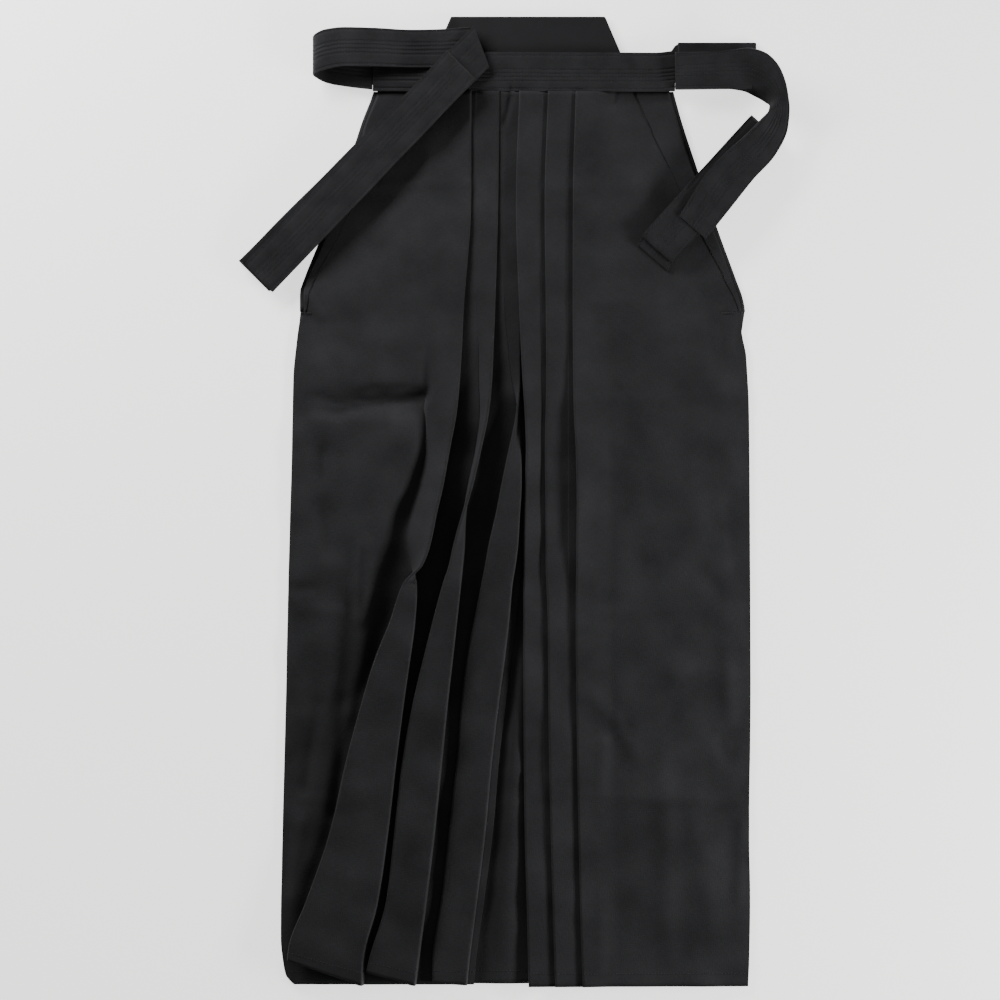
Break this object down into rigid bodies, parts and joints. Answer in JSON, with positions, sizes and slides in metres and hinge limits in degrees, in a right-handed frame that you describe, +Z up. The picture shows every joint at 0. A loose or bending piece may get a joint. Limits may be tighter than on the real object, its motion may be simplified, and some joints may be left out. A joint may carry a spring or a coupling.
{
  "type": "hakama trousers laid flat",
  "caption": "Pleated wide-legged hakama trousers laid flat, front up, with a stiff back board and folded waist ties.",
  "frame": {"origin": "middle of the garment's outline, on the surface it lies on", "axes": "+Y towards the waist, +X towards the wearer's left leg, +Z up out of the front"},
  "size_m": [0.55, 0.969, 0.0277],
  "materials": {
    "cloth": "matt black woven cotton",
    "ties": "matt black cotton, stitched lengthwise",
    "board": "smooth black cloth over a stiff board"
  },
  "bodies": {
    "root": {"front_right_panel": "cloth", "front_left_panel": "cloth", "back_right_panel": "cloth", "back_left_panel": "cloth", "crotch_gusset": "cloth", "side_slit_facing_right": "cloth", "side_slit_facing_left": "cloth", "koshi_ita_board": "board", "front_waistband": "ties", "front_tie_right_loop": "ties", "front_tie_right_bundle": "ties", "front_tie_left_start": "ties", "front_tie_left_turn": "ties", "front_tie_left_bundle": "ties", "back_tie_left": "ties", "back_tie_right": "ties"}
  },
  "joints": []
}
